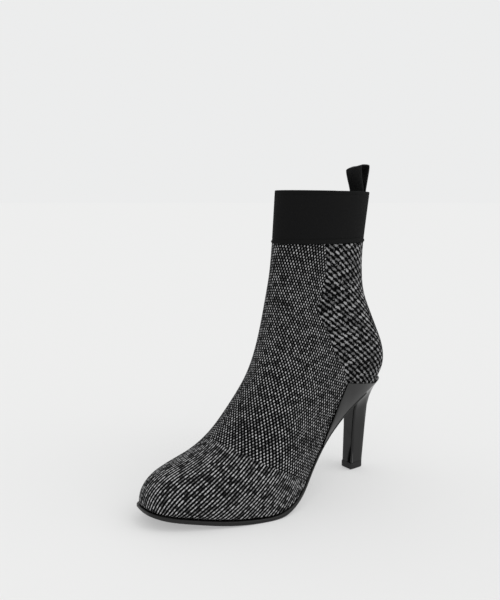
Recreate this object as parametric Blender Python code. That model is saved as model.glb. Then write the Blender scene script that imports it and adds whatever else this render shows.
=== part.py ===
"""A woman's left sock boot: knitted sock upper on a high squared heel, with an elastic cuff.

Metres, +Z up. The toe points to -Y and the wearer's left, the outer side of the foot, is +X.
In the sections below "along" runs from the back of the heel towards the toe and "rise" is the
height over the floor. The origin is the bottom centre of the whole boot's bounding box.
"""

import bmesh
import bpy
import numpy as np
from mathutils import Matrix

# The last and the sock on it
FOOT_LENGTH = 0.2334        # back of the heel to the tip of the toe
COLLAR_RISE = 0.2475        # floor to the top edge of the cuff
HALF_WIDTH = 0.0390         # middle line to the outside of the ball
KNIT_WALL = 0.0020
CLEARANCE = 0.0003          # between pieces that touch

# Elastic cuff
BAND_WALL = 0.0018
BAND_RIDGE = 0.0007         # how far the seam at its lower edge stands out
RIDGE_HEIGHT = 0.0030
RIDGE_FLAT = 0.8            # share of its height before it slopes back
TUCK_DEPTH = 0.0080         # knit that runs up inside the cuff
TUCK_WALL = 0.0013

# Pull loop of folded webbing
LOOP_WIDTH = 0.0175
LOOP_WEBBING = 0.0012
LOOP_RISE = 0.0222          # how far it stands over the collar
LOOP_TUCK = 0.0180          # how far its legs go down inside the cuff
LOOP_SPREAD = 0.0115        # depth of the fold at its top
LOOP_LEG_GAP = 0.0008       # between the two legs where they are sewn
LOOP_FOLD = 0.0016          # radius of the two folds at its top
LOOP_OFFSET = 0.0015        # towards the outer side of the foot

# Insole and outsole
INSOLE_THICKNESS = 0.0025
INSOLE_ROOM = 0.0005        # how much narrower its top face is than its underside
BALL_SOLE = 0.0034          # outsole under the ball of the foot
SHANK_SOLE = 0.0024         # outsole under the arch
SOLE_LIP = 0.0012           # outsole beyond the edge of the knit
SOLE_GAP = 0.0005           # between the outsole and what stands on it
SOLE_CHAMFER = 0.0007       # bevel round the underside of the outsole
SOLE_UPRIGHT = 0.75         # share of the outsole's thickness above that bevel
THIN_SHARE = 0.42           # of the foot's length, where the outsole's arch ends
THICK_SHARE = 0.62          # of the foot's length, where its full thickness starts

# Heel
BREAST_ALONG = 0.0350       # front face of the heel where it meets the outsole
WING_WALL = 0.0010          # glossy skin that wraps the back of the sock
WING_GAP = 0.0005           # between that skin and the knit
WING_RISE = 0.0905          # height over the floor of the wings' top corners
WING_FALL = 0.19            # slope of their top edge from there down to the back
WING_TIP_ALONG = 0.0890     # front tip of the wings, on the edge of the sole
WING_CORNER_ALONG = 0.0645  # where the slanting front edge meets the top edge
WING_TIP_HEIGHT = 0.0012    # height of the wings at their front tips
HEEL_HALF_WIDTH = 0.0058    # at the floor
HEEL_DEPTH = 0.0148         # at the floor
HEEL_FRONT_ALONG = 0.0354   # front face of the heel at the floor
HEEL_OFFSET = 0.0018        # towards the outer side of the foot, at the floor
HEEL_HEAD_HALF_WIDTH = 0.0071   # under the seat, were it not flared
HEEL_HEAD_DEPTH = 0.0182
HEEL_HEAD_ALONG = 0.0312
HEEL_CORNER = 0.0022        # rounding of the upright edges at the back
FLARE_END = 0.42            # share of the column's height over which the seat flares out
FLARE_POWER = 2.4
COLUMN_LEVELS = (0.035, 0.08, 0.14, 0.22, 0.33, 0.55, 1.0)      # shares, seat to foot
LEVEL_SHARES = (1.0, 0.6, 0.25, 0.0, 0.0, 0.0)      # how level the skin faces, row by row
TIP_HEIGHT = 0.0062
TIP_CHAMFER = 0.0008

# Shares of the named sizes: along of FOOT_LENGTH, rise of COLLAR_RISE, widths and swing of
# HALF_WIDTH. Each section is a straight line in side view from its low point, on the edge of
# the sole or on the back line, to its top point on the front line. Edge is the half-width at
# the low point, wide the largest, belly the share of the line where that lies, crown the
# roundness above it and swing the sideways shift of the middle line.
COLUMNS = ("low_along", "low_rise", "top_along", "top_rise", "edge_out", "edge_in",
           "wide_out", "wide_in", "belly", "crown", "swing")
SECTIONS = (
    ("toe tip",     0.998, 0.055, 1.000, 0.061, 0.005, 0.005, 0.012, 0.012, 0.30, 2.00, -0.265),
    ("toe end",     0.989, 0.051, 0.986, 0.103, 0.285, 0.309, 0.310, 0.336, 0.30, 2.20, -0.267),
    ("toe",         0.950, 0.044, 0.938, 0.144, 0.515, 0.537, 0.565, 0.580, 0.30, 2.20, -0.233),
    ("toe cap",     0.876, 0.033, 0.863, 0.172, 0.712, 0.722, 0.780, 0.778, 0.30, 2.20, -0.168),
    ("tread front", 0.792, 0.022, 0.788, 0.205, 0.860, 0.845, 0.912, 0.888, 0.30, 2.10, -0.060),
    ("ball",        0.695, 0.015, 0.720, 0.261, 0.970, 0.884, 1.000, 0.968, 0.30, 2.00, 0.028),
    ("joint",       0.608, 0.015, 0.646, 0.355, 1.020, 0.804, 1.035, 0.952, 0.32, 2.00, 0.084),
    ("vamp",        0.521, 0.047, 0.593, 0.431, 0.930, 0.680, 0.965, 0.868, 0.36, 2.00, 0.084),
    ("waist",       0.435, 0.114, 0.565, 0.488, 0.755, 0.555, 0.860, 0.784, 0.40, 2.00, 0.037),
    ("shank",       0.348, 0.187, 0.544, 0.557, 0.640, 0.550, 0.810, 0.758, 0.40, 2.00, 0.006),
    ("instep",      0.257, 0.258, 0.534, 0.604, 0.633, 0.600, 0.802, 0.777, 0.40, 2.00, -0.002),
    ("heel front",  0.163, 0.309, 0.527, 0.650, 0.624, 0.610, 0.813, 0.794, 0.40, 2.00, 0.001),
    ("seat back",   0.087, 0.331, 0.522, 0.680, 0.505, 0.510, 0.826, 0.798, 0.40, 2.00, 0.001),
    ("seat corner", 0.045, 0.335, 0.519, 0.703, 0.326, 0.330, 0.832, 0.802, 0.40, 2.00, 0.006),
    ("seat end",    0.026, 0.337, 0.517, 0.718, 0.012, 0.012, 0.834, 0.805, 0.38, 2.00, 0.012),
    ("heel bulge",  0.004, 0.378, 0.513, 0.739, 0.010, 0.010, 0.817, 0.801, 0.37, 2.00, 0.012),
    ("heel upper",  0.009, 0.444, 0.509, 0.763, 0.010, 0.010, 0.777, 0.780, 0.40, 2.00, 0.004),
    ("ankle",       0.057, 0.544, 0.503, 0.794, 0.010, 0.010, 0.728, 0.737, 0.45, 2.00, -0.002),
    ("ankle top",   0.105, 0.643, 0.499, 0.813, 0.010, 0.010, 0.702, 0.711, 0.48, 2.00, -0.007),
    ("shaft",       0.120, 0.736, 0.497, 0.823, 0.010, 0.010, 0.712, 0.717, 0.50, 2.00, 0.000),
    ("band seam",   0.117, 0.830, 0.495, 0.832, 0.010, 0.010, 0.724, 0.723, 0.50, 2.00, 0.002),
    ("collar",      0.092, 0.996, 0.484, 1.001, 0.010, 0.010, 0.738, 0.733, 0.50, 2.00, 0.006),
)
NAMES = [row[0] for row in SECTIONS]
UNITS = dict(low_along=FOOT_LENGTH, low_rise=COLLAR_RISE, top_along=FOOT_LENGTH,
             top_rise=COLLAR_RISE, edge_out=HALF_WIDTH, edge_in=HALF_WIDTH,
             wide_out=HALF_WIDTH, wide_in=HALF_WIDTH, belly=1.0, crown=1.0, swing=HALF_WIDTH)
TABLE = {name: np.array([row[k + 1] for row in SECTIONS]) * UNITS[name]
         for k, name in enumerate(COLUMNS)}

SEAT_END = NAMES.index("seat end")
SEAM = NAMES.index("band seam")
COLLAR = NAMES.index("collar")
SIDE_STEPS = 28             # columns on each side, from the front line to the back line
BODY_STEPS = 24             # rows of the knit from the sole to the cuff
ROW_CROWDING = 1.35         # over 1, these rows lie closer together near the sole
THICKENING_ROWS = 4         # rows under the cuff over which the knit's wall grows
END_RUNGS = 6               # parts of the outsole's square end
LEAST_STATION = 0.12        # between its last section and that end
FRONT_POINTS = 5            # points across the heel's breast


def column(name, station, power=1):
    """A column of the table, or a power of it, at any station, by a smooth curve."""
    value = TABLE[name] ** power
    slope = np.gradient(value)
    k = np.clip(np.floor(station).astype(int), 0, len(value) - 2)
    t = station - k
    return (value[k] * (1 + 2 * t) * (1 - t) ** 2 + slope[k] * t * (1 - t) ** 2
            + value[k + 1] * t * t * (3 - 2 * t) + slope[k + 1] * t * t * (t - 1))


def line_point(station, share):
    """Along and rise of a point on a section's line."""
    along = column("low_along", station) * (1 - share) + column("top_along", station) * share
    rise = column("low_rise", station) * (1 - share) + column("top_rise", station) * share
    return along, rise


def half_width(station, share, side):
    """Distance of the skin from the middle line: side is +1 on the outer side of the foot."""
    ending = "out" if side > 0 else "in"
    edge = np.sqrt(np.maximum(column("edge_" + ending, station, 2), 0))
    wide = np.sqrt(np.maximum(column("wide_" + ending, station, 2), edge ** 2))
    belly = column("belly", station)
    crown = column("crown", station)
    low = 1 - np.clip(share / belly, 0, 1)
    high = np.clip((share - belly) / (1 - belly), 0, 1)
    below = np.sqrt(edge ** 2 + (wide ** 2 - edge ** 2) * (1 - low ** 2))
    above = wide * (1 - high ** crown) ** (1 / crown)
    return np.where(share < belly, below, above)


def locate(along, rise):
    """Station and share of a point given in side view: sections never cross, so halve."""
    first = np.zeros_like(along)
    last = np.full_like(along, float(COLLAR))
    for _ in range(40):
        middle = (first + last) / 2
        low_along, low_rise = line_point(middle, 0.0)
        top_along, top_rise = line_point(middle, 1.0)
        turn = ((top_along - low_along) * (rise - low_rise)
                - (top_rise - low_rise) * (along - low_along))
        first = np.where(turn > 0, middle, first)
        last = np.where(turn > 0, last, middle)
    low_along, low_rise = line_point(middle, 0.0)
    top_along, top_rise = line_point(middle, 1.0)
    run = np.hypot(top_along - low_along, top_rise - low_rise)
    share = ((along - low_along) * (top_along - low_along)
             + (rise - low_rise) * (top_rise - low_rise)) / run ** 2
    return middle, np.clip(share, 0, 1)


def world(sideways, along, rise):
    return np.stack([sideways, FOOT_LENGTH / 2 - along, rise], -1)


def skin(station, share, side):
    """Points of the sock's outer surface."""
    along, rise = line_point(station, share)
    sideways = column("swing", station) + side * half_width(station, share, side)
    return world(sideways, along, rise)


def even_steps(path, count):
    """Indices, as fractions, that part a path of points into even lengths."""
    length = np.concatenate([[0], np.cumsum(np.linalg.norm(np.diff(path, axis=0), axis=1))])
    return np.interp(np.linspace(0, length[-1], count + 1), length, np.arange(len(path)))


def edge_stations():
    """Stations along the edge of the sole, toe to heel, evenly spaced in plan."""
    fine = np.linspace(0, SEAT_END, 600)
    zero = np.zeros_like(fine)
    step = [even_steps(skin(fine, zero, side), SIDE_STEPS) for side in (1, -1)]
    return np.interp((step[0] + step[1]) / 2, np.arange(600), fine)


def cuff_shares(station):
    """Shares round a closed section, front to back, evenly spaced along its rim."""
    fine = (1 + np.cos(np.linspace(0, np.pi, 600))) / 2
    level = np.full_like(fine, float(station))
    step = [even_steps(skin(level, fine, side), SIDE_STEPS) for side in (1, -1)]
    return np.interp((step[0] + step[1]) / 2, np.arange(600), fine)


EDGE = edge_stations()
CUFF = cuff_shares(SEAM)
BAND_HEIGHT = float(np.hypot(*np.subtract(line_point(float(COLLAR), 0.5),
                                          line_point(float(SEAM), 0.5))))


def cuff_station(height):
    """Station at a height over the lower edge of the cuff."""
    return SEAM + height / BAND_HEIGHT


def round_ring(outer, inner):
    """One closed ring from the points of both sides, each front to back."""
    front = (outer[:1] + inner[:1]) / 2
    back = (outer[-1:] + inner[-1:]) / 2
    return np.concatenate([front, outer[1:-1], back, inner[-2:0:-1]])


def path_points(along, rise, steps):
    """Points that part a path in side view at the given shares of its length."""
    length = np.concatenate([[0], np.cumsum(np.hypot(np.diff(along), np.diff(rise)))])
    wanted = steps * length[-1]
    return np.interp(wanted, length, along), np.interp(wanted, length, rise)


def knit_rings():
    """Rings of the sock's skin from the sole's edge to the cuff, as a net drawn in side view
    between the sole's edge, the front line, the back line and the lower edge of the cuff."""
    steps = np.linspace(0, 1, BODY_STEPS + 1) ** ROW_CROWDING
    top = cuff_station(-CLEARANCE)
    fine = np.linspace(0, top, 900)
    front = path_points(*line_point(fine, 1.0), steps)
    fine = np.linspace(SEAT_END, top, 900)
    back = path_points(*line_point(fine, 0.0), steps)
    foot = line_point(EDGE, 0.0)
    cuff = line_point(np.full_like(CUFF, top), CUFF)
    across = ((1 - np.cos(np.linspace(0, np.pi, SIDE_STEPS + 1))) / 2)[None, :]
    up = steps[:, None]
    net = []
    for k in (0, 1):
        corners = ((1 - up) * ((1 - across) * foot[k][0] + across * foot[k][-1])
                   + up * ((1 - across) * cuff[k][0] + across * cuff[k][-1]))
        net.append((1 - up) * foot[k][None, :] + up * cuff[k][None, :]
                   + (1 - across) * front[k][:, None] + across * back[k][:, None] - corners)
    station, share = locate(net[0], net[1])
    station[0], share[0] = EDGE, 0.0
    station[-1], share[-1] = top, CUFF
    sides = []
    for side in (1, -1):
        sideways = column("swing", station) + side * half_width(station, share, side)
        sideways[1:, 0] = column("swing", station)[1:, 0]
        sideways[1:, -1] = column("swing", station)[1:, -1]
        sides.append(world(sideways, net[0], net[1]))
    return np.stack([round_ring(a, b) for a, b in zip(*sides)])


def cuff_rings(heights):
    """Rings of the sock's skin at heights over the lower edge of the cuff."""
    rings = []
    for height in heights:
        level = np.full_like(CUFF, cuff_station(height))
        rings.append(round_ring(skin(level, CUFF, 1), skin(level, CUFF, -1)))
    return np.stack(rings)


def unit(vectors):
    return vectors / np.linalg.norm(vectors, axis=-1, keepdims=True)


def outward(rings):
    """Unit normals of stacked rings, pointing out of the sock."""
    round_way = np.roll(rings, -1, axis=1) - np.roll(rings, 1, axis=1)
    up_way = np.gradient(rings, axis=0)
    return unit(np.cross(round_way, up_way))


def edge_outward(ring):
    """Level unit directions away from the inside of a ring."""
    round_way = np.roll(ring, -1, axis=0) - np.roll(ring, 1, axis=0)
    away = np.stack([round_way[:, 1], -round_way[:, 0], np.zeros(len(ring))], -1)
    return unit(away)


def settle(points, lift):
    """The same points at a height over the surface that the sock stands on."""
    fine = np.linspace(SEAT_END, 0, 1200)
    settled = points.copy()
    along = FOOT_LENGTH / 2 - points[:, 1]
    settled[:, 2] = np.interp(along, column("low_along", fine), column("low_rise", fine)) + lift
    return settled


def knit_lining(body):
    """Inner face of the knit, thickening below the cuff to meet the tuck inside it."""
    away = outward(body)
    away[0] = edge_outward(body[0])
    thicker = BAND_WALL + CLEARANCE + TUCK_WALL - KNIT_WALL
    near_cuff = np.clip(1 - (BODY_STEPS - np.arange(BODY_STEPS)) / THICKENING_ROWS, 0, 1)
    depth = KNIT_WALL + thicker * near_cuff
    lining = body[:-1] - away[:-1] * depth[:, None, None]
    lining[0] = settle(lining[0], 0.0)
    return lining


def mesh_object(name, points, faces, colour, roughness, sharp=60.0, coat=0.0):
    """A closed mesh object of its own, with its own material."""
    mesh = bpy.data.meshes.new(name)
    mesh.from_pydata([tuple(p) for p in points], [], [tuple(f) for f in faces])
    mesh.validate()
    obj = bpy.data.objects.new(name, mesh)
    bpy.context.scene.collection.objects.link(obj)
    shell = bmesh.new()
    shell.from_mesh(mesh)
    bmesh.ops.recalc_face_normals(shell, faces=shell.faces[:])
    if shell.calc_volume(signed=True) < 0:
        bmesh.ops.reverse_faces(shell, faces=shell.faces[:])
    shell.to_mesh(mesh)
    shell.free()
    mesh.shade_smooth()
    mesh.set_sharp_from_angle(angle=np.radians(sharp))
    material = bpy.data.materials.new(name)
    material.use_nodes = True
    shader = material.node_tree.nodes["Principled BSDF"]
    shader.inputs["Base Color"].default_value = (*colour, 1.0)
    shader.inputs["Roughness"].default_value = roughness
    shader.inputs["Metallic"].default_value = 0.0
    shader.inputs["Coat Weight"].default_value = coat
    mesh.materials.append(material)
    return obj


def tube_faces(ring_count, size, looped=True):
    """Quads between rings of equal size, and from the last ring to the first if looped."""
    faces = []
    for k in range(ring_count if looped else ring_count - 1):
        low, high = k * size, ((k + 1) % ring_count) * size
        for i in range(size):
            j = (i + 1) % size
            faces.append((low + i, low + j, high + j, high + i))
    return faces


def clear_scene():
    for obj in list(bpy.data.objects):
        bpy.data.objects.remove(obj)


def build_upper():
    """Hollow knitted sock: the skin, a step in for the cuff, the tuck inside it, the inner
    face and the rim that stands on the sole."""
    body = knit_rings()
    step_in = BAND_WALL + CLEARANCE
    tuck = cuff_rings([-CLEARANCE, TUCK_DEPTH / 2, TUCK_DEPTH])
    tuck_out = outward(tuck)
    outer = [body]
    outer.append(tuck - tuck_out * step_in)
    inner = [(tuck - tuck_out * (step_in + TUCK_WALL))[::-1]]
    rings = np.concatenate(outer + inner + [knit_lining(body)[::-1]])
    faces = tube_faces(len(rings), rings.shape[1])
    return mesh_object("knit_upper", rings.reshape(-1, 3), faces, (0.035, 0.035, 0.036), 0.9)


def build_band():
    """Elastic cuff, flush with the knit below it, with a raised seam at its lower edge."""
    heights = [0.0, RIDGE_HEIGHT * RIDGE_FLAT, RIDGE_HEIGHT]
    heights += list(np.linspace(RIDGE_HEIGHT, BAND_HEIGHT, 6)[1:])
    rings = cuff_rings(heights)
    away = outward(rings)
    proud = np.array([BAND_RIDGE, BAND_RIDGE] + [0.0] * (len(heights) - 2))[:, None, None]
    outer = rings + away * proud
    inner = (rings - away * BAND_WALL)[[-1, 4, 0]]
    stack = np.concatenate([outer, inner])
    faces = tube_faces(len(stack), stack.shape[1])
    return mesh_object("elastic_band", stack.reshape(-1, 3), faces, (0.010, 0.010, 0.010), 0.8)


def inner_back(height, sideways, depth):
    """Along of the cuff's inner face near the back line, at a height over its lower edge."""
    level = np.full(200, cuff_station(height))
    share = np.linspace(0, 0.4, 200)
    ring = np.stack([skin(level, share, side) for side in (1, -1)])
    reach = []
    for value in np.atleast_1d(sideways):
        side = 0 if value >= 0 else 1
        width = np.abs(ring[side][:, 0] - column("swing", level)) - depth
        k = np.clip(np.searchsorted(width, abs(value)), 1, 199)
        t = (abs(value) - width[k - 1]) / (width[k] - width[k - 1])
        y = ring[side][k - 1, 1] + np.clip(t, 0, 1) * (ring[side][k, 1] - ring[side][k - 1, 1])
        reach.append(FOOT_LENGTH / 2 - y)
    return np.array(reach)


def build_loop():
    """Webbing folded over, both legs against the inside of the cuff at the back."""
    across = np.linspace(-1, 1, 9) * LOOP_WIDTH / 2
    seat = BAND_WALL + CLEARANCE
    back = column("low_along", float(COLLAR)) + seat
    lean = (column("low_along", float(SEAM)) - column("low_along", float(COLLAR))) / BAND_HEIGHT
    start = BAND_HEIGHT - LOOP_TUCK
    bow = inner_back(BAND_HEIGHT, across + LOOP_OFFSET, seat) - inner_back(BAND_HEIGHT, 0.0, seat)
    top = COLLAR_RISE + LOOP_RISE
    leg_gap = LOOP_WEBBING + LOOP_LEG_GAP
    half = LOOP_WEBBING / 2
    path = []
    for k in range(4):
        height = start + (BAND_HEIGHT - start) * k / 3
        path.append((back + lean * (BAND_HEIGHT - height) + half,
                     COLLAR_RISE - BAND_HEIGHT + height, 1.0))
    for k in (0.33, 0.66, 0.9):
        path.append((back + half, COLLAR_RISE + (LOOP_RISE - LOOP_FOLD) * k, 1 - k))
    path.append((back + half + 0.3 * LOOP_FOLD, top - half - 0.3 * LOOP_FOLD, 0.0))
    path.append((back + half + LOOP_FOLD, top - half, 0.0))
    path.append((back + LOOP_SPREAD / 2, top - half, 0.0))
    path.append((back + LOOP_SPREAD - half - LOOP_FOLD, top - half, 0.0))
    path.append((back + LOOP_SPREAD - half - 0.3 * LOOP_FOLD, top - half - 0.3 * LOOP_FOLD, 0.0))
    for k in (0.9, 0.66, 0.33):
        spread = leg_gap + (LOOP_SPREAD - LOOP_WEBBING - leg_gap) * k ** 0.8
        path.append((back + half + spread, COLLAR_RISE + (LOOP_RISE - LOOP_FOLD) * k, 1 - k))
    for along, rise, share in reversed(path[:4]):
        path.append((along + leg_gap, rise, share))
    path = np.array(path)
    run = unit(np.gradient(path[:, :2], axis=0))
    normal = np.stack([-run[:, 1], run[:, 0]], -1)
    middle = column("swing", float(COLLAR)) + LOOP_OFFSET
    rings = []
    for (along, rise, share), (n_along, n_rise) in zip(path, normal):
        faces = []
        for sign in (1, -1):
            shift_along = along + sign * half * n_along
            shift_rise = rise + sign * half * n_rise
            line = world(middle + across, shift_along + share * bow, np.full_like(bow, shift_rise))
            faces.append(line if sign > 0 else line[::-1])
        rings.append(np.concatenate(faces))
    rings = np.stack(rings)
    size = rings.shape[1]
    faces = tube_faces(len(rings), size, looped=False)
    half_size = size // 2
    for first in (0, (len(rings) - 1) * size):
        for i in range(half_size - 1):
            faces.append((first + i, first + i + 1, first + size - 2 - i, first + size - 1 - i))
    return mesh_object("pull_loop", rings.reshape(-1, 3), faces, (0.008, 0.008, 0.008), 0.75)


def row_faces(rows):
    """Faces between neighbouring rows of point numbers. A number met twice makes a triangle."""
    faces = []
    for low, high in zip(rows[:-1], rows[1:]):
        for k in range(len(low) - 1):
            face = []
            for index in (low[k], low[k + 1], high[k + 1], high[k]):
                if index not in face:
                    face.append(index)
            faces.append(tuple(face))
    return faces


def span(cloud, left, right, rungs):
    """Adds points to a cloud on straight lines between matched points, and gives the rows."""
    rows = []
    for a, b in zip(left, right):
        row = [a]
        for k in range(1, rungs):
            share = k / rungs
            cloud.append(cloud[a] * (1 - share) + cloud[b] * share)
            row.append(len(cloud) - 1)
        rows.append(row + [b])
    return rows


def plate_object(name, rings, rungs, colour, roughness, square_end=False):
    """A closed plate: rings from its top edge to its bottom edge, closed by rows across.
    Each ring runs from its front point down one side and back up the other. At the far end
    it has one point or, where that is square, a straight row of them."""
    size = rings.shape[1]
    half = (size - rungs * square_end) // 2
    cloud = list(rings.reshape(-1, 3))
    faces = tube_faces(len(rings), size, looped=False)
    for first in (0, (len(rings) - 1) * size):
        ring = list(range(first, first + size))
        rows = [[first] * (rungs + 1)]
        rows += span(cloud, ring[1:half], ring[:-half:-1], rungs)
        rows.append(ring[half:half + rungs + 1] if square_end else [ring[half]] * (rungs + 1))
        faces += row_faces(rows)
    return mesh_object(name, cloud, faces, colour, roughness, sharp=50.0)


def build_insole():
    """Inner sole inside the knit's lower rim, its underside level with that rim."""
    zero = np.zeros_like(EDGE)
    ring = round_ring(skin(EDGE, zero, 1), skin(EDGE, zero, -1))
    away = edge_outward(ring)
    low = settle(ring - away * (KNIT_WALL + CLEARANCE), 0.0)
    wall = knit_lining(knit_rings())[:5]
    lean = ((wall - wall[0]) * away).sum(axis=-1)
    height = wall[:, :, 2] - wall[0, :, 2]
    levels = np.linspace(0.0, INSOLE_THICKNESS, 6)
    reach = [np.interp(levels, height[:, k], lean[:, k]).min() for k in range(len(ring))]
    high = low + away * (np.minimum(reach, 0.0) - INSOLE_ROOM)[:, None]
    high[:, 2] = low[:, 2] + INSOLE_THICKNESS
    return plate_object("insole", np.stack([high, low]), 3, (0.05, 0.05, 0.05), 0.8)


def sole_thickness(along):
    share = np.clip((along / FOOT_LENGTH - THIN_SHARE) / (THICK_SHARE - THIN_SHARE), 0, 1)
    return SHANK_SOLE + (BALL_SOLE - SHANK_SOLE) * share * share * (3 - 2 * share)


def edge_station(along):
    """Station of the section that meets the sole's edge at a distance from the heel's back."""
    fine = np.linspace(0, SEAT_END, 2000)
    return float(np.interp(-along, -column("low_along", fine), fine))


def build_outsole():
    """Sole from the toe to the heel's breast, flat under the ball and arched behind it."""
    end = edge_station(BREAST_ALONG + CLEARANCE)
    stations = np.append(EDGE[EDGE < end - LEAST_STATION], end)
    zero = np.zeros_like(stations)
    outer, inner = skin(stations, zero, 1), skin(stations, zero, -1)
    outer[0] = (outer[0] + inner[0]) / 2
    share = np.linspace(0, 1, END_RUNGS + 1)[1:-1, None]
    end_row = outer[-1] * (1 - share) + inner[-1] * share
    top = np.concatenate([outer, end_row, inner[:0:-1]])
    away = edge_outward(top)
    half = len(stations) - 1
    away[half:half + END_RUNGS + 1] = 0.0
    away[half, 0] = 1.0
    away[half + END_RUNGS, 0] = -1.0
    lip = settle(top + away * SOLE_LIP, -SOLE_GAP)
    under = lip.copy()
    under[:, 2] = np.maximum(lip[:, 2] - sole_thickness(FOOT_LENGTH / 2 - lip[:, 1]), 0.0)
    side_low = lip + (under - lip) * SOLE_UPRIGHT
    under -= away * SOLE_CHAMFER
    return plate_object("outsole", np.stack([lip, side_low, under]), END_RUNGS,
                        (0.006, 0.006, 0.006), 0.45, square_end=True)


def column_outline(half_width, depth, front, offset):
    """Squared outline of the heel at one level, from the outer front corner round the back to
    the inner front corner, then across the front, and the number of points before the front.
    Sideways and along, in metres."""
    back = front - depth + HEEL_CORNER
    side = [(half_width, front + (back - front) * t) for t in np.linspace(0, 1, 7)]
    for a in np.radians((22.5, 45, 67.5)):
        side.append((half_width - HEEL_CORNER * (1 - np.cos(a)), back - HEEL_CORNER * np.sin(a)))
    for t in np.linspace(1, 0, 5):
        side.append(((half_width - HEEL_CORNER) * t, back - HEEL_CORNER))
    side = np.array(side)
    across = np.linspace(-half_width, half_width, FRONT_POINTS + 2)[1:-1]
    breast = np.stack([across, np.full_like(across, front)], -1)
    outline = np.concatenate([side, side[-2::-1] * (-1, 1), breast])
    return outline + (offset, 0), 2 * len(side) - 1


def floor_outline():
    return column_outline(HEEL_HALF_WIDTH, HEEL_DEPTH, HEEL_FRONT_ALONG, HEEL_OFFSET)


def wing_net(stations):
    """The sock's surface under the heel's glossy skin, round the back in rows from the sole's
    edge to the wings' top edge, with its outward directions."""
    low_along, low_rise = line_point(stations, 0.0)
    reach = np.clip((low_along - low_along[0]) / (WING_CORNER_ALONG - low_along[0]), 0, 1)
    top_rise = low_rise[0] + (WING_RISE - low_rise[0]) * reach
    top_rise -= WING_FALL * np.maximum(WING_CORNER_ALONG - low_along, 0)
    top_rise = np.maximum(top_rise, low_rise + WING_TIP_HEIGHT)
    edge_along, edge_rise = line_point(np.linspace(SEAT_END, SEAT_END + 2, 400), 0.0)
    back_along = np.interp(top_rise[-1], edge_rise, edge_along)
    seat_share = np.clip((BREAST_ALONG - low_along) / (BREAST_ALONG - low_along[-1]), 0, 1)
    top_along = low_along + (back_along - low_along[-1]) * seat_share ** 2
    share = np.linspace(0, 1, len(LEVEL_SHARES))[:, None]
    along = low_along + (top_along - low_along) * share
    rise = low_rise + (top_rise - low_rise) * share
    along[:, -1] = np.interp(rise[:, -1], edge_rise, edge_along)
    station, height = locate(along, rise)
    station[0], height[0] = stations, 0.0
    sides = []
    for side in (1, -1):
        sideways = column("swing", station) + side * half_width(station, height, side)
        sideways[:, -1] = column("swing", station)[:, -1]
        sides.append(world(sideways, along, rise))
    net = np.concatenate([sides[0], sides[1][:, -2::-1]], axis=1)
    round_way = np.gradient(net, axis=1)
    away = unit(np.cross(round_way, np.gradient(net, axis=0)))
    level = unit(np.stack([round_way[0][:, 1], -round_way[0][:, 0], np.zeros(net.shape[1])], -1))
    blend = np.array(LEVEL_SHARES)[:, None, None]
    return net, unit(away * (1 - blend) + level * blend)


def build_heel():
    """Moulded heel: a squared column that leans forward as it goes down, the seat flared out
    under the sock, and a thin skin that wraps its back and runs forward as two pointed wings."""
    low_outline, side_count = floor_outline()
    head_outline, _ = column_outline(HEEL_HEAD_HALF_WIDTH, HEEL_HEAD_DEPTH, HEEL_HEAD_ALONG, 0.0)
    half = side_count // 2
    breast = edge_station(BREAST_ALONG)
    corner = edge_station(WING_CORNER_ALONG)
    wing = np.concatenate([np.linspace(edge_station(WING_TIP_ALONG), corner, 5)[:-1],
                           np.linspace(corner, breast, 5)[:-1]])
    fine = np.linspace(breast, SEAT_END, 500)
    step = even_steps(skin(fine, np.zeros_like(fine), 1), half)
    net, away = wing_net(np.concatenate([wing, np.interp(step, np.arange(500), fine)]))
    cloud = list((net + away * WING_GAP).reshape(-1, 3))
    cloud += list((net + away * (WING_GAP + WING_WALL)).reshape(-1, 3))
    inner = np.arange(net[..., 0].size).reshape(net.shape[:2])
    outer = inner + inner.size
    first, last = len(wing), net.shape[1] - 1 - len(wing)
    faces = row_faces(inner.tolist()) + row_faces(outer.tolist())
    rims = [(inner[-1], outer[-1]), (inner[0, :first + 1], outer[0, :first + 1]),
            (inner[0, last:], outer[0, last:]), (inner[:, 0], outer[:, 0]),
            (inner[:, -1], outer[:, -1])]
    for one, other in rims:
        faces += row_faces([one.tolist(), other.tolist()])

    seat_in = inner[0, first:last + 1].tolist()
    seat_out = outer[0, first:last + 1].tolist()
    top_start = len(cloud)
    front_top = span(cloud, seat_in[-1:], seat_in[:1], FRONT_POINTS - 1)[0]
    rows = [front_top[::-1]]
    rows += span(cloud, seat_in[1:half], seat_in[::-1][1:half], FRONT_POINTS - 1)
    rows.append([seat_in[half]] * FRONT_POINTS)
    faces += row_faces(rows)
    seat = seat_in + seat_out + list(range(top_start, len(cloud)))
    for index, point in zip(seat, settle(np.array([cloud[k] for k in seat]), -CLEARANCE)):
        cloud[index] = point

    ring = seat_out + front_top
    high = np.array([cloud[k] for k in ring])
    low = world(*low_outline.T, np.full(len(low_outline), TIP_HEIGHT + CLEARANCE))
    head = world(*head_outline.T, high[:, 2])
    for depth in COLUMN_LEVELS:
        flare = np.clip(1 - depth / FLARE_END, 0, 1) ** FLARE_POWER
        level = head * (1 - depth) + low * depth
        level[:, :2] = high[:, :2] * flare + level[:, :2] * (1 - flare)
        lower = list(range(len(cloud), len(cloud) + len(level)))
        cloud.extend(level)
        faces += row_faces([ring + ring[:1], lower + lower[:1]])
        ring = lower
    side, front = ring[:side_count], ring[side_count:]
    rows = [[side[0]] + front[::-1] + [side[-1]]]
    rows += span(cloud, side[1:half], side[::-1][1:half], FRONT_POINTS + 1)
    rows.append([side[half]] * (FRONT_POINTS + 2))
    faces += row_faces(rows)
    return mesh_object("heel", cloud, faces, (0.010, 0.010, 0.010), 0.12, sharp=40.0, coat=1.0)


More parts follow.
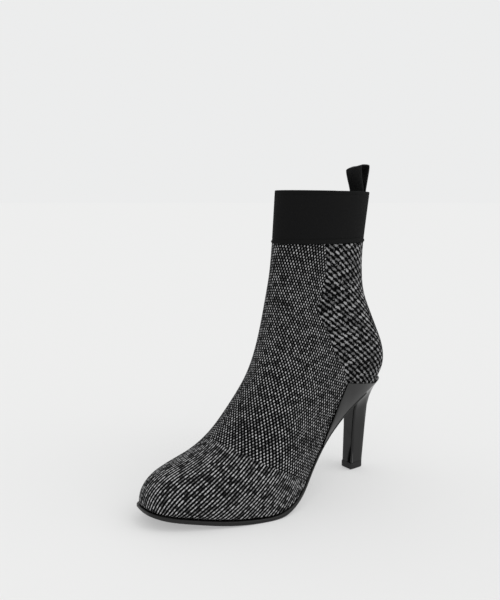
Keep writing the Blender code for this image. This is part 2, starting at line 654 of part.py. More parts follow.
def build_tip():
    """Rubber top piece under the column, with a small chamfer round its tread."""
    outline, side_count = floor_outline()
    outline = outline[:side_count]
    top = world(*outline.T, np.full(side_count, TIP_HEIGHT))
    waist, tread = top.copy(), top.copy()
    waist[:, 2] = TIP_CHAMFER
    tread[:, 2] = 0.0
    centre = (top.min(axis=0) + top.max(axis=0)) / 2
    tread[:, :2] -= (top - centre)[:, :2] * TIP_CHAMFER / HEEL_HALF_WIDTH
    faces = tube_faces(3, side_count, looped=False)
    faces.append(tuple(range(side_count)))
    faces.append(tuple(range(2 * side_count, 3 * side_count)))
    points = np.concatenate([top, waist, tread])
    return mesh_object("heel_tip", points, faces, (0.012, 0.012, 0.012), 0.6, sharp=30.0)


def centre_over_floor(objects):
    """Moves all meshes so that their common box has its bottom centre at the origin."""
    cloud = np.array([v.co for obj in objects for v in obj.data.vertices])
    low, high = cloud.min(axis=0), cloud.max(axis=0)
    shift = (-(low[0] + high[0]) / 2, -(low[1] + high[1]) / 2, -low[2])
    for obj in objects:
        obj.data.transform(Matrix.Translation(shift))


clear_scene()
centre_over_floor([build_upper(), build_band(), build_loop(), build_insole(), build_outsole(),
                   build_heel(), build_tip()])
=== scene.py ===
"""A woman's left sock boot on a pale studio floor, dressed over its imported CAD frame.

Metres, +Z up, the toe towards -Y and the outer side of the foot towards +X. The sections
follow the boot as it is put together: insole, sock, cuff, pull loop, outsole, heel, top piece.
"""

import math

import bmesh
import bpy
import numpy as np
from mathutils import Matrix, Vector


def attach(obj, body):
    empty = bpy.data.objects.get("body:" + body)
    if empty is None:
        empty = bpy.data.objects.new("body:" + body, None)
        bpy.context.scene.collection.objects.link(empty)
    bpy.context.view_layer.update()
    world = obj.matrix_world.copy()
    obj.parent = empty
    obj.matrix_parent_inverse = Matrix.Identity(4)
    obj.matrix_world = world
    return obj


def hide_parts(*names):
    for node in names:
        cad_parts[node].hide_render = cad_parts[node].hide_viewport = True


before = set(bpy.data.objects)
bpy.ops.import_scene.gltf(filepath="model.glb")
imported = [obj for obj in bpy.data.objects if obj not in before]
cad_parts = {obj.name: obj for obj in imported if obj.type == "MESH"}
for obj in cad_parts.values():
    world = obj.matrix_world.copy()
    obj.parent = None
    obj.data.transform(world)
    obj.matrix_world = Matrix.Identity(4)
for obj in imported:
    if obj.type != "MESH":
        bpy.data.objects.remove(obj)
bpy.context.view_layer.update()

# Camera. A studio camera a little above the boot, looking across its outer side from in
# front, as in the photograph. It is 0.57 m from the ankle.
CAMERA_PLACE = (0.4114, -0.3285, 0.2398)
CAMERA_HEADING = 53.77      # degrees, turned from looking along +Y
CAMERA_PITCH = 8.49         # degrees, looking down
CAMERA_LENS = 40.10         # mm
CAMERA_FRAME = 36           # mm high
CAMERA_NEAR = 0.01

bpy.ops.object.camera_add(location=CAMERA_PLACE, rotation=(
    math.radians(90 - CAMERA_PITCH), 0, math.radians(CAMERA_HEADING)))
camera = bpy.context.object
camera.data.sensor_fit = "VERTICAL"
camera.data.sensor_height = CAMERA_FRAME
camera.data.lens = CAMERA_LENS
camera.data.clip_start = CAMERA_NEAR
bpy.context.scene.camera = camera

# Studio. A seamless pale floor that is as bright as the even sky behind it, and one broad
# soft light high behind the boot, so that its shadow falls softly forward under the toe.
SKY_COLOUR = (0.995, 1.0, 1.0, 1)
SKY_BRIGHTNESS = 0.845
FLOOR_RADIUS = 60
FLOOR_COLOUR = (0.475, 0.475, 0.472, 1)
FLOOR_GLOW = 0.36               # lit from within, as a light table, to keep its shadows pale
SUN_STRENGTH = 0.80
SUN_TURN = (math.radians(38), 0, math.radians(138))     # lean from straight down, and heading
SUN_SPREAD = math.radians(50)

bpy.context.scene.view_settings.view_transform = "Standard"
sky = bpy.data.worlds.new("studio_sky")
sky.use_nodes = True
backdrop = sky.node_tree.nodes["Background"]
backdrop.inputs["Color"].default_value = SKY_COLOUR
backdrop.inputs["Strength"].default_value = SKY_BRIGHTNESS
bpy.context.scene.world = sky

bpy.ops.mesh.primitive_circle_add(vertices=96, radius=FLOOR_RADIUS, fill_type="NGON")
floor = bpy.context.object
floor.name = "studio_floor"
floor_paint = bpy.data.materials.new("studio_floor")
floor_paint.use_nodes = True
floor_shader = floor_paint.node_tree.nodes["Principled BSDF"]
floor_shader.inputs["Base Color"].default_value = FLOOR_COLOUR
floor_shader.inputs["Roughness"].default_value = 1.0
floor_shader.inputs["Specular IOR Level"].default_value = 0.0
floor_shader.inputs["Emission Color"].default_value = (1, 1, 1, 1)
floor_shader.inputs["Emission Strength"].default_value = FLOOR_GLOW
floor.data.materials.append(floor_paint)

bpy.ops.object.light_add(type="SUN", location=(0, 0, 2), rotation=SUN_TURN)
sun = bpy.context.object
sun.name = "high_light"
sun.data.energy = SUN_STRENGTH
sun.data.angle = SUN_SPREAD

# Insole. A board last, covered in black textile, that the sock is glued to. Only its heel
# part shows, down through the collar.
INSOLE_CLOTH = (0.020, 0.020, 0.020)
INSOLE_ROUNDING = 0.0002
PAD_BORDER = 0.0035             # bare edge of the insole round its pad
PAD_CROWN = 0.0006
UPWARDS = 0.7                   # Z of the normals of its top faces, at least


def pick_alone(piece):
    """Makes a piece the only selected object and the active one."""
    bpy.ops.object.select_all(action="DESELECT")
    piece.select_set(True)
    bpy.context.view_layer.objects.active = piece


def welded_copy(node, name):
    """A CAD piece copied to a new piece, its loose triangles welded and paired to quads."""
    piece = bpy.data.objects.new(name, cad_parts[node].data.copy())
    bpy.context.scene.collection.objects.link(piece)
    pick_alone(piece)
    piece.data.materials.clear()
    bpy.ops.object.mode_set(mode="EDIT")
    bpy.ops.mesh.select_all(action="SELECT")
    bpy.ops.mesh.remove_doubles(threshold=1e-6)
    bpy.ops.mesh.tris_convert_to_quads(face_threshold=math.radians(60),
                                       shape_threshold=math.radians(80))
    bpy.ops.object.mode_set(mode="OBJECT")
    return piece


def edit_faces(piece, chosen):
    """Opens a piece for editing with only the faces selected that a test picks."""
    pick_alone(piece)
    bpy.ops.object.mode_set(mode="EDIT")
    bpy.ops.mesh.select_mode(type="FACE")
    bpy.ops.mesh.select_all(action="DESELECT")
    shape = bmesh.from_edit_mesh(piece.data)
    for face in shape.faces:
        face.select_set(bool(chosen(face)))
    bmesh.update_edit_mesh(piece.data)


def finish_with(piece, kind, **settings):
    """Adds a modifier with its settings to a piece and applies it."""
    pick_alone(piece)
    modifier = piece.modifiers.new(kind.lower(), kind)
    for name, value in settings.items():
        setattr(modifier, name, value)
    bpy.ops.object.modifier_apply(modifier=modifier.name)


def round_edges(piece, width, segments, degrees):
    """Rounds the edges between faces that meet at more than some degrees."""
    finish_with(piece, "BEVEL", width=width, segments=segments, limit_method="ANGLE",
                angle_limit=math.radians(degrees))


def plain_material(name, colour, roughness, specular):
    """A Principled material of one colour."""
    material = bpy.data.materials.new(name)
    material.use_nodes = True
    shader = material.node_tree.nodes["Principled BSDF"]
    shader.inputs["Base Color"].default_value = (*colour, 1)
    shader.inputs["Roughness"].default_value = roughness
    shader.inputs["Specular IOR Level"].default_value = specular
    return material


def shade(piece, sharp_over):
    """Shades a piece smooth, but for the edges between faces that meet at more degrees."""
    piece.data.shade_smooth()
    piece.data.set_sharp_from_angle(angle=math.radians(sharp_over))


insole = welded_copy("insole", "insole_board")
edit_faces(insole, lambda face: face.normal.z > UPWARDS)
bpy.ops.mesh.inset(thickness=PAD_BORDER, depth=0)
bpy.ops.mesh.inset(thickness=PAD_CROWN, depth=0)
bpy.ops.transform.shrink_fatten(value=PAD_CROWN)
bpy.ops.object.mode_set(mode="OBJECT")
round_edges(insole, INSOLE_ROUNDING, segments=2, degrees=40)
insole_cloth = plain_material("insole_cloth", INSOLE_CLOTH, roughness=0.85, specular=0.2)
insole.data.materials.append(insole_cloth)
shade(insole, sharp_over=40)
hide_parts("insole")
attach(insole, "root")

# Sock. One seamless tube of black and white melange yarn, knitted in ribs over the toe, in
# bird's-eye over the instep and shaft and in a coarser blister stitch round the heel. It is
# lasted over the insole and glued there, and lined with plain black knit.
WHITE_YARN = (0.50, 0.50, 0.505)
BLACK_YARN = (0.0022, 0.0022, 0.0024)
LINING_BLACK = (0.008, 0.008, 0.008)
STITCH_RELIEF = 0.0003
PATCH_SCALE = 90                # of large patches of paler and darker yarn
PATCH_WHITE = (0.55, 1.35)
UNEVEN_SCALE = 420              # of the yarn's thick and thin places
GRAIN_SCALE = 700               # of its fuzz

RIB_PITCH = 0.0023
RIB_STITCH = 0.0030             # length of a rib's white stitches
RIB_SHIFT = 1.2                 # how far uneven yarn shifts these stitches
RIB_LINE_SHIFT = 1.4            # and the edges of the rib
RIB_LINE = (0.15, 1.0)          # of the wave across a rib, from black to white
RIB_DASH = (-1.0, 0.2)          # of the wave along it, from a gap to a stitch
RIB_GAP_WHITE = 0.35            # share of white left in a gap
RIB_WHITE = (0.1, 1.7)          # least and most white of a stitch

COURSE_PITCH = 0.00218          # between courses of the bird's-eye, along the foot and leg
COURSE_CLIMB = 70               # courses that they climb in a metre round the leg
LOW_WALES, HIGH_WALES = 690, 950        # wales to a metre over the foot and at the cuff
WALE_CHANGE = (0.150, 0.250)    # from the tip of the toe, where their number changes
LEFT_WEIGHT, RIGHT_WEIGHT = 1.1, 0.9    # of its rows that lean left and right
EYE_SHIFT = 1.6
EYE_DOT = (0.3, 1.8)            # of the rows' waves, from black to white
EYE_WHITE = (0.2, 1.4)          # least and most white of an eye

ROW_PITCH, COLUMN_PITCH = 0.0037, 0.0060        # of the blister stitch
ROW_ANGLE, COLUMN_ANGLE = 35, -86
ROW_SHIFT, COLUMN_SHIFT = 0.7, 0.9
ROW_WEIGHT, COLUMN_WEIGHT = 1.1, 0.7
BLISTER_GRAIN = 5.0             # weight of the yarn's fuzz
BLISTER_DOT = (-0.2, 1.5)       # of its waves, from black to white
BLISTER_WHITE = (0.25, 0.8)     # least and most white of a blister
BLISTER_RELIEF = 2.0            # times the other stitches'

# Edges of the ribs and of the blister stitch, in side view, and how soft they are.
TOE_EDGE = ((-0.0590, 0.0565), (0.0038, 0.0201))    # y and z of its two ends
HEEL_EDGE_Z = (0.092, 0.098, 0.110, 0.119, 0.132, 0.144, 0.155, 0.162, 0.178, 0.192, 0.208)
HEEL_EDGE_Y = (0.0505, 0.0505, 0.0437, 0.0371, 0.0323, 0.0273, 0.0215, 0.0260, 0.0312, 0.0314,
               0.0298)
TOE_SOFTNESS, HEEL_SOFTNESS = 0.0004, 0.0006
HEEL_OVERLAP = 0.012            # how far the heel's flat map runs on past that edge
ANKLE_Z = 0.15                  # parts the sock's upper rim from its lower one


def crease_sharp_edges(piece, degrees, crease=1.0):
    """Marks the edges between faces that meet at more than some degrees, so that they stay."""
    shape = bmesh.new()
    shape.from_mesh(piece.data)
    creases = shape.edges.layers.float
    layer = creases.get("crease_edge") or creases.new("crease_edge")
    for edge in shape.edges:
        if len(edge.link_faces) == 2 and edge.calc_face_angle() > math.radians(degrees):
            edge[layer] = crease
    shape.to_mesh(piece.data)
    shape.free()


def select_outer_faces(piece):
    """Selects the outer face of a tube in edit mode, from its rearmost point to its rims."""
    bpy.ops.mesh.select_mode(type="FACE")
    bpy.ops.mesh.select_all(action="DESELECT")
    shape = bmesh.from_edit_mesh(piece.data)
    max(shape.faces, key=lambda face: face.calc_center_median().y).select_set(True)
    bpy.ops.mesh.faces_select_linked_flat(sharpness=math.radians(45))
    return [face.index for face in shape.faces if face.select]


def lay_flat(piece, faces, name, low_end, high_end):
    """Unwraps faces to a UV map in metres, turned so that V runs from one vertex to another."""
    piece.data.uv_layers.active = piece.data.uv_layers.new(name=name)
    bpy.ops.object.mode_set(mode="EDIT")
    bpy.ops.mesh.select_mode(type="FACE")
    bpy.ops.mesh.select_all(action="DESELECT")
    shape = bmesh.from_edit_mesh(piece.data)
    shape.faces.ensure_lookup_table()
    for index in faces:
        shape.faces[index].select_set(True)
    bpy.ops.uv.unwrap(method="MINIMUM_STRETCH", iterations=80, no_flip=False)
    bpy.ops.object.mode_set(mode="OBJECT")
    layer = piece.data.uv_layers[name]
    chosen = [piece.data.polygons[index] for index in faces]
    flat_area = 0.0
    for face in chosen:
        corners = [layer.uv[k].vector for k in face.loop_indices]
        flat_area += abs(sum(a.x * b.y - a.y * b.x
                             for a, b in zip(corners, corners[1:] + corners[:1]))) / 2
    scale = math.sqrt(sum(face.area for face in chosen) / flat_area)
    place = {}
    for face in chosen:
        for k in face.loop_indices:
            place[piece.data.loops[k].vertex_index] = layer.uv[k].vector.copy()
    start = place[low_end]
    run = place[high_end] - start
    turn = math.pi / 2 - math.atan2(run.y, run.x)
    cosine, sine = scale * math.cos(turn), scale * math.sin(turn)
    for face in chosen:
        for k in face.loop_indices:
            at = layer.uv[k].vector - start
            layer.uv[k].vector = (at.x * cosine - at.y * sine, at.x * sine + at.y * cosine)


class Sums:
    """Writes sums as Math nodes in a material, so that a pattern reads as its formula."""

    def __init__(self, material):
        self.tree = material.node_tree
        self.shader = self.tree.nodes["Principled BSDF"]

    def do(self, operation, *values):
        node = self.tree.nodes.new("ShaderNodeMath")
        node.operation = operation
        for k, value in enumerate(values):
            if isinstance(value, (int, float)):
                node.inputs[k].default_value = value
            else:
                self.tree.links.new(value, node.inputs[k])
        return node.outputs[0]

    def add(self, a, b):
        return self.do("ADD", a, b)

    def less(self, a, b):
        return self.do("SUBTRACT", a, b)

    def times(self, a, b):
        return self.do("MULTIPLY", a, b)

    def blend(self, share, a, b):
        return self.add(a, self.times(share, self.less(b, a)))

    def along(self, plane, degrees, pitch):
        """Rows counted across a flat plane at an angle, one each pitch."""
        u, v = plane
        turn = math.radians(degrees)
        return self.add(self.times(u, math.cos(turn) / pitch),
                        self.times(v, math.sin(turn) / pitch))

    def wave(self, rows):
        """A cosine from -1 to 1 that peaks in the middle of each row."""
        return self.do("COSINE", self.times(rows, 2 * math.pi))

    def step(self, value, low, high):
        """0 below low, 1 above high and smooth between."""
        node = self.tree.nodes.new("ShaderNodeMapRange")
        node.interpolation_type = "SMOOTHSTEP"
        node.inputs["From Min"].default_value = low
        node.inputs["From Max"].default_value = high
        self.tree.links.new(value, node.inputs["Value"])
        return node.outputs["Result"]

    def chance(self, *cells):
        """A random number for each whole-numbered cell."""
        node = self.tree.nodes.new("ShaderNodeTexWhiteNoise")
        node.noise_dimensions = "3D"
        join = self.tree.nodes.new("ShaderNodeCombineXYZ")
        for k, cell in enumerate(cells):
            self.tree.links.new(self.do("ROUND", cell), join.inputs[k])
        self.tree.links.new(join.outputs[0], node.inputs["Vector"])
        return node.outputs["Value"]

    def noise(self, vector, scale):
        node = self.tree.nodes.new("ShaderNodeTexNoise")
        node.inputs["Scale"].default_value = scale
        self.tree.links.new(vector, node.inputs["Vector"])
        return node.outputs["Fac"]

    def place(self):
        return self.tree.nodes.new("ShaderNodeTexCoord").outputs["Object"]

    def split(self, vector):
        """The X, Y and Z of a vector."""
        node = self.tree.nodes.new("ShaderNodeSeparateXYZ")
        self.tree.links.new(vector, node.inputs[0])
        return node.outputs[0], node.outputs[1], node.outputs[2]

    def plane(self, uv_name):
        """The two coordinates of a UV map."""
        node = self.tree.nodes.new("ShaderNodeUVMap")
        node.uv_map = uv_name
        return self.split(node.outputs["UV"])[:2]

    def value(self, attribute):
        node = self.tree.nodes.new("ShaderNodeAttribute")
        node.attribute_name = attribute
        return node.outputs["Fac"]

    def bump(self, height, depth, strength):
        node = self.tree.nodes.new("ShaderNodeBump")
        node.inputs["Strength"].default_value = strength
        node.inputs["Distance"].default_value = depth
        self.tree.links.new(height, node.inputs["Height"])
        self.tree.links.new(node.outputs["Normal"], self.shader.inputs["Normal"])

    def colour(self, share, dark, light):
        node = self.tree.nodes.new("ShaderNodeMix")
        node.data_type = "RGBA"
        node.inputs["A"].default_value = (*dark, 1)
        node.inputs["B"].default_value = (*light, 1)
        self.tree.links.new(share, node.inputs["Factor"])
        self.tree.links.new(node.outputs["Result"], self.shader.inputs["Base Color"])


# The outer face is laid flat twice: all of it, slit down the back, and the heel's part whole.
sock = welded_copy("knit_upper", "sock_knit")
bpy.ops.object.mode_set(mode="EDIT")
skin = select_outer_faces(sock)
shape = bmesh.from_edit_mesh(sock.data)
shape.faces.ensure_lookup_table()
rims = {vertex for index in skin for edge in shape.faces[index].edges
        if sum(face.select for face in edge.link_faces) == 1 for vertex in edge.verts}
upper_rim = [vertex for vertex in rims if vertex.co.z > ANKLE_Z]
lower_rim = [vertex for vertex in rims if vertex.co.z < ANKLE_Z]
cuff_back = max(upper_rim, key=lambda vertex: vertex.co.y).index
cuff_front = min(upper_rim, key=lambda vertex: vertex.co.y).index
heel_back = max(lower_rim, key=lambda vertex: vertex.co.y).index
toe_tip = min(lower_rim, key=lambda vertex: vertex.co.y).index
bpy.ops.mesh.hide(unselected=True)
bpy.ops.mesh.select_all(action="DESELECT")
bpy.ops.mesh.select_mode(type="VERT")
shape.verts.ensure_lookup_table()
shape.verts[cuff_back].select_set(True)
shape.verts[heel_back].select_set(True)
bpy.ops.mesh.shortest_path_select(edge_mode="SELECT")
bpy.ops.mesh.select_mode(use_extend=False, type="EDGE")
bpy.ops.mesh.mark_seam(clear=False)
bpy.ops.mesh.reveal()
bpy.ops.object.mode_set(mode="OBJECT")
lay_flat(sock, skin, "foot_wrap", toe_tip, cuff_front)

bpy.ops.object.mode_set(mode="EDIT")
bpy.ops.mesh.select_all(action="SELECT")
bpy.ops.mesh.mark_seam(clear=True)
bpy.ops.object.mode_set(mode="OBJECT")
rear = []
for index in skin:
    middle = sock.data.polygons[index].center
    if middle.y > np.interp(middle.z, HEEL_EDGE_Z, HEEL_EDGE_Y) - HEEL_OVERLAP:
        rear.append(index)
lay_flat(sock, rear, "heel_wrap", heel_back, cuff_back)

knit = plain_material("melange_knit", WHITE_YARN, roughness=1.0, specular=0.02)
lining = plain_material("black_lining", LINING_BLACK, roughness=0.95, specular=0.1)
sock.data.materials.append(knit)
sock.data.materials.append(lining)
outside = set(skin)
for face in sock.data.polygons:
    face.material_index = 0 if face.index in outside else 1
crease_sharp_edges(sock, degrees=45)
finish_with(sock, "SUBSURF", levels=2, render_levels=2)

# How far each point lies inside the toe's ribs and the heel's blister stitch, in side view.
points = np.array([vertex.co for vertex in sock.data.vertices])
(first_y, first_z), (last_y, last_z) = TOE_EDGE
edge_length = math.hypot(last_y - first_y, last_z - first_z)
past_toe_edge = ((points[:, 2] - first_z) * (last_y - first_y)
                 - (points[:, 1] - first_y) * (last_z - first_z)) / -edge_length
past_heel_edge = points[:, 1] - np.interp(points[:, 2], HEEL_EDGE_Z, HEEL_EDGE_Y)
for name, values in (("in_toe", past_toe_edge), ("in_heel", past_heel_edge)):
    layer = sock.data.attributes.new(name, "FLOAT", "POINT")
    layer.data.foreach_set("value", values.astype(np.float32))

sums = Sums(knit)
foot = sums.plane("foot_wrap")
rear_plane = sums.plane("heel_wrap")
place = sums.place()
patches = sums.noise(place, PATCH_SCALE)
uneven = sums.less(sums.noise(place, UNEVEN_SCALE), 0.5)
grain = sums.less(sums.noise(place, GRAIN_SCALE), 0.5)

ribs = sums.along(foot, 0, RIB_PITCH)
rib_rows = sums.add(sums.along(foot, 90, RIB_STITCH), sums.times(uneven, RIB_SHIFT))
rib_wave = sums.add(sums.wave(ribs), sums.times(uneven, RIB_LINE_SHIFT))
rib_line = sums.step(rib_wave, *RIB_LINE)
rib_dash = sums.step(sums.wave(rib_rows), *RIB_DASH)
rib_white = sums.times(sums.times(rib_line, sums.blend(rib_dash, RIB_GAP_WHITE, 1.0)),
                       sums.blend(sums.chance(ribs, rib_rows), *RIB_WHITE))

wale_count = sums.blend(sums.step(foot[1], *WALE_CHANGE), LOW_WALES, HIGH_WALES)
wales = sums.times(foot[0], wale_count)
courses = sums.add(sums.times(foot[1], -1 / COURSE_PITCH), sums.times(foot[0], COURSE_CLIMB))
left_rows = sums.times(sums.less(wales, courses), 0.5)
right_rows = sums.times(sums.add(wales, courses), 0.5)
eye_wave = sums.add(sums.times(sums.wave(left_rows), LEFT_WEIGHT),
                    sums.times(sums.wave(right_rows), RIGHT_WEIGHT))
eye_dot = sums.step(sums.add(eye_wave, sums.times(uneven, EYE_SHIFT)), *EYE_DOT)
eye_white = sums.times(eye_dot, sums.blend(sums.chance(left_rows, right_rows), *EYE_WHITE))

blister_rows = sums.add(sums.along(rear_plane, ROW_ANGLE, ROW_PITCH),
                        sums.times(uneven, ROW_SHIFT))
blister_columns = sums.add(sums.along(rear_plane, COLUMN_ANGLE, COLUMN_PITCH),
                           sums.times(uneven, COLUMN_SHIFT))
blister_wave = sums.add(sums.times(sums.wave(blister_rows), ROW_WEIGHT),
                        sums.times(sums.wave(blister_columns), COLUMN_WEIGHT))
blister_dot = sums.step(sums.add(blister_wave, sums.times(grain, BLISTER_GRAIN)), *BLISTER_DOT)
blister_white = sums.times(
    blister_dot, sums.blend(sums.chance(blister_rows, blister_columns), *BLISTER_WHITE))

in_toe = sums.step(sums.value("in_toe"), -TOE_SOFTNESS, TOE_SOFTNESS)
in_heel = sums.step(sums.value("in_heel"), -HEEL_SOFTNESS, HEEL_SOFTNESS)
white = sums.blend(in_toe, sums.blend(in_heel, eye_white, blister_white), rib_white)
white = sums.times(white, sums.blend(patches, *PATCH_WHITE))
sums.colour(white, BLACK_YARN, WHITE_YARN)
blister_height = sums.times(blister_dot, BLISTER_RELIEF)
height = sums.blend(in_toe, sums.blend(in_heel, eye_dot, blister_height), rib_line)
sums.bump(height, STITCH_RELIEF, strength=0.5)
shade(sock, sharp_over=50)
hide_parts("knit_upper")
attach(sock, "root")

# Cuff. A wide band of black elastic, folded over at its top edge and joined to the sock by
# a corded seam.
CUFF_TOP, CUFF_SEAM = 0.2465, 0.2054    # lowest points of its top edge and of its lower one
HEM_DROP = 0.0026               # from the top edge to the line where the fold is sewn down
CORD_HEIGHT = 0.0038            # of the corded seam, with the line over it
GROOVE_WIDTH, GROOVE_DEPTH = 0.0007, 0.0003     # of those two lines
CUFF_ROUNDING = 0.0004
ELASTIC_RIB = 0.0012
ELASTIC_FUZZ = 900              # fineness of its nap
ELASTIC_DARK, ELASTIC_LIGHT = (0.0045, 0.0045, 0.0046), (0.0110, 0.0110, 0.0112)
ELASTIC_RELIEF = 0.00012
ROUND_STEPS = 144               # in which the distance round the cuff is measured


def press_line(piece, level):
    """Presses a groove into a tube's outer wall, level round it at a height."""
    for height in (level - GROOVE_WIDTH / 2, level, level + GROOVE_WIDTH / 2):
        edit_faces(piece, lambda face: True)
        bpy.ops.mesh.bisect(plane_co=(0, 0, height), plane_no=(0, 0, 1))
        bpy.ops.object.mode_set(mode="OBJECT")
    centre = sum((vertex.co for vertex in piece.data.vertices), Vector())
    centre /= len(piece.data.vertices)
    for vertex in piece.data.vertices:
        away = (vertex.co - centre) * Vector((1, 1, 0))
        if abs(vertex.co.z - level) < 1e-6 and vertex.normal.dot(away) > 0:
            vertex.co -= away.normalized() * GROOVE_DEPTH


def wrap_round(piece, name):
    """A UV map round an upright tube: U is the distance round it and V the height, in metres."""
    cloud = np.array([vertex.co for vertex in piece.data.vertices])
    middle = (cloud.min(axis=0) + cloud.max(axis=0)) / 2
    turns = np.linspace(-math.pi, math.pi, ROUND_STEPS + 1)
    angle = np.arctan2(cloud[:, 1] - middle[1], cloud[:, 0] - middle[0])
    radius = np.hypot(cloud[:, 0] - middle[0], cloud[:, 1] - middle[1])
    bins = np.digitize(angle, turns) - 1
    steps = np.arange(ROUND_STEPS)
    reach = np.array([radius[bins == k].max() if (bins == k).any() else np.nan for k in steps])
    known = ~np.isnan(reach)
    reach = np.interp(steps, steps[known], reach[known])
    length = np.concatenate([[0], np.cumsum(reach * np.diff(turns))])
    layer = piece.data.uv_layers.new(name=name)
    for face in piece.data.polygons:
        start = math.atan2(face.center.y - middle[1], face.center.x - middle[0])
        for k in face.loop_indices:
            point = piece.data.vertices[piece.data.loops[k].vertex_index].co
            turn = math.atan2(point.y - middle[1], point.x - middle[0])
            laps = round((start - turn) / (2 * math.pi))
            layer.uv[k].vector = (np.interp(turn, turns, length) + laps * length[-1], point.z)


cuff = welded_copy("elastic_band", "elastic_cuff")
crease_sharp_edges(cuff, degrees=35, crease=0.8)
finish_with(cuff, "SUBSURF", levels=1, render_levels=1)
press_line(cuff, CUFF_TOP - HEM_DROP)
press_line(cuff, CUFF_SEAM + CORD_HEIGHT)
round_edges(cuff, CUFF_ROUNDING, segments=3, degrees=45)
wrap_round(cuff, "round_cuff")
elastic = plain_material("black_elastic", ELASTIC_LIGHT, roughness=0.95, specular=0.08)
sums = Sums(elastic)
round_cuff = sums.plane("round_cuff")
weave = sums.times(sums.wave(sums.along(round_cuff, 0, ELASTIC_RIB)),
                   sums.wave(sums.along(round_cuff, 90, ELASTIC_RIB)))
fuzz = sums.noise(sums.place(), ELASTIC_FUZZ)
sums.colour(sums.blend(0.5, sums.step(weave, -1, 1), fuzz), ELASTIC_DARK, ELASTIC_LIGHT)
sums.bump(sums.add(weave, fuzz), ELASTIC_RELIEF, strength=0.5)
cuff.data.materials.append(elastic)
shade(cuff, sharp_over=60)
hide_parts("elastic_band")
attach(cuff, "root")

# Pull loop. Black webbing with corded selvages, folded double and sewn down inside the cuff
# at the back, to pull the boot on by.
WEBBING_PITCH, WEBBING_ANGLE = 0.0011, 55       # of its twill
WEBBING_DARK, WEBBING_LIGHT = (0.0040, 0.0040, 0.0042), (0.0100, 0.0100, 0.0104)
WEBBING_RELIEF = 0.00012
SELVAGE = 0.0014                # corded edge of the webbing
SELVAGE_SWELL = 0.00012
SWELL_REACH = 1.6 * SELVAGE
SELVAGE_BLUR = 0.1 * SELVAGE
LOOP_MIDDLE = -0.00177          # its middle line, in X
LOOP_DEPTH = 0.0115             # of the fold, front to back
LOOP_SAG = 0.0035               # how far its front inner corner hangs down
SAG_REACH = 0.016

loop = welded_copy("pull_loop", "loop_webbing")
crease_sharp_edges(loop, degrees=50, crease=0.7)
finish_with(loop, "SUBSURF", levels=2, render_levels=2)
half_webbing = max(abs(vertex.co.x - LOOP_MIDDLE) for vertex in loop.data.vertices)
loop_front = min(vertex.co.y for vertex in loop.data.vertices)
loop_top = max(vertex.co.z for vertex in loop.data.vertices)
for vertex in loop.data.vertices:
    up = max(0.0, 1 - (loop_top - vertex.co.z) / SAG_REACH)
    forward = max(0.0, 1 - (vertex.co.y - loop_front) / LOOP_DEPTH)
    inward = (half_webbing + LOOP_MIDDLE - vertex.co.x) / (2 * half_webbing)
    vertex.co.z -= LOOP_SAG * up * forward * inward
for vertex in loop.data.vertices:
    from_edge = half_webbing - abs(vertex.co.x - LOOP_MIDDLE)
    if from_edge < SWELL_REACH:
        vertex.co += vertex.normal * SELVAGE_SWELL * math.sin(math.pi * from_edge / SWELL_REACH)
webbing = plain_material("loop_webbing", WEBBING_LIGHT, roughness=0.8, specular=0.15)
sums = Sums(webbing)
across, _, upwards = sums.split(sums.place())
twill = sums.wave(sums.along((across, upwards), WEBBING_ANGLE, WEBBING_PITCH))
from_middle = sums.do("ABSOLUTE", sums.less(across, LOOP_MIDDLE))
selvage_line = half_webbing - SELVAGE
on_selvage = sums.step(from_middle, selvage_line - SELVAGE_BLUR, selvage_line + SELVAGE_BLUR)
sums.colour(sums.blend(on_selvage, sums.step(twill, -1, 1), 1), WEBBING_DARK, WEBBING_LIGHT)
sums.bump(twill, WEBBING_RELIEF, strength=0.5)
loop.data.materials.append(webbing)
shade(loop, sharp_over=50)
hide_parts("pull_loop")
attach(loop, "root")

# Outsole. A thin moulded rubber sole, glued under the sock from the toe to the heel, with a
# finely grained tread panel set in under the ball of the foot.
SOLE_BLACK = (0.005, 0.005, 0.005)
SOLE_GRAIN = 1800               # fineness of its grain
RUBBER_RELIEF = 0.0001
TREAD_BORDER = 0.0045
TREAD_DEPTH = 0.0003
TREAD_TOP = 0.02                # the sole's arch, above it, has no tread
DOWNWARDS = -0.95               # Z of the normals of the tread's faces, at most

outsole = welded_copy("outsole", "rubber_outsole")
edit_faces(outsole, lambda face: face.normal.z < DOWNWARDS
           and face.calc_center_median().z < TREAD_TOP)
bpy.ops.mesh.inset(thickness=TREAD_BORDER, depth=0)
bpy.ops.mesh.inset(thickness=TREAD_DEPTH, depth=-TREAD_DEPTH)
bpy.ops.object.mode_set(mode="OBJECT")
crease_sharp_edges(outsole, degrees=25, crease=0.75)
finish_with(outsole, "SUBSURF", levels=2, render_levels=2)
sole_rubber = plain_material("sole_rubber", SOLE_BLACK, roughness=0.45, specular=0.35)
sums = Sums(sole_rubber)
sums.bump(sums.noise(sums.place(), SOLE_GRAIN), RUBBER_RELIEF, strength=0.3)
outsole.data.materials.append(sole_rubber)
shade(outsole, sharp_over=50)
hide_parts("outsole")
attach(outsole, "root")

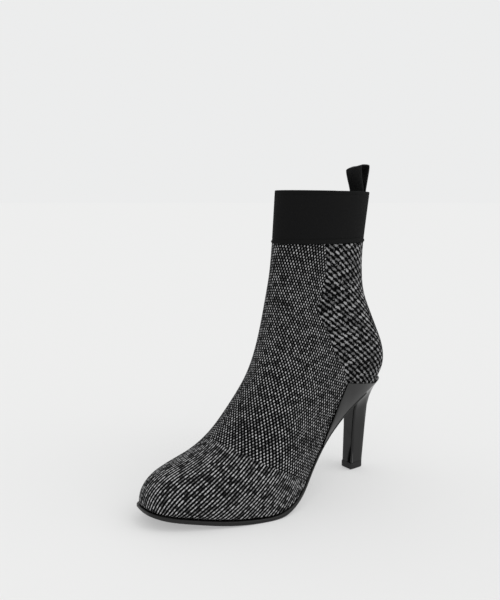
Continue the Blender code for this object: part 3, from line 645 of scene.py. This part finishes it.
# Heel. A squared block and the thin wings that wrap the back of the sock, moulded in one
# piece of black plastic with a patent gloss.
PATENT_BLACK = (0.003, 0.003, 0.003)
HEEL_ROUNDING = 0.0003
BREAST_Y = 0.088                # just behind the front face of the column
BREAST_TOP = 0.068
BREAST_ROUNDING = 0.0016        # of that face's two upright edges
UPRIGHT = 0.9                   # least share of their length that is height
BREAST_CORNER = math.radians(50)


def on_breast(edge):
    """Whether an edge is one of the upright ones at the sides of the column's front face."""
    first, last = (vertex.co for vertex in edge.verts)
    middle = (first + last) / 2
    upright = abs((last - first).normalized().z) > UPRIGHT
    return (upright and middle.y < BREAST_Y and middle.z < BREAST_TOP
            and len(edge.link_faces) == 2 and edge.calc_face_angle() > BREAST_CORNER)


heel = welded_copy("heel", "patent_heel")
edit_faces(heel, lambda face: False)
bpy.ops.mesh.select_mode(type="EDGE")
shape = bmesh.from_edit_mesh(heel.data)
for edge in shape.edges:
    edge.select_set(on_breast(edge))
bmesh.update_edit_mesh(heel.data)
bpy.ops.mesh.bevel(offset=BREAST_ROUNDING, offset_type="OFFSET", segments=5, affect="EDGES")
bpy.ops.object.mode_set(mode="OBJECT")
round_edges(heel, HEEL_ROUNDING, segments=2, degrees=50)
patent = plain_material("black_patent", PATENT_BLACK, roughness=0.14, specular=0.38)
heel.data.materials.append(patent)
shade(heel, sharp_over=45)
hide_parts("heel")
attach(heel, "root")

# Top piece. A block of hard black rubber that takes the wear, nailed up into the column of
# the heel from below.
TIP_BLACK = (0.012, 0.012, 0.012)
TIP_ROUNDING = 0.0004
TIP_GRAIN = 1500

tip = welded_copy("heel_tip", "rubber_top_piece")
round_edges(tip, TIP_ROUNDING, segments=3, degrees=30)
tip_rubber = plain_material("tip_rubber", TIP_BLACK, roughness=0.6, specular=0.3)
sums = Sums(tip_rubber)
sums.bump(sums.noise(sums.place(), TIP_GRAIN), RUBBER_RELIEF, strength=0.3)
tip.data.materials.append(tip_rubber)
shade(tip, sharp_over=30)
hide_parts("heel_tip")
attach(tip, "root")
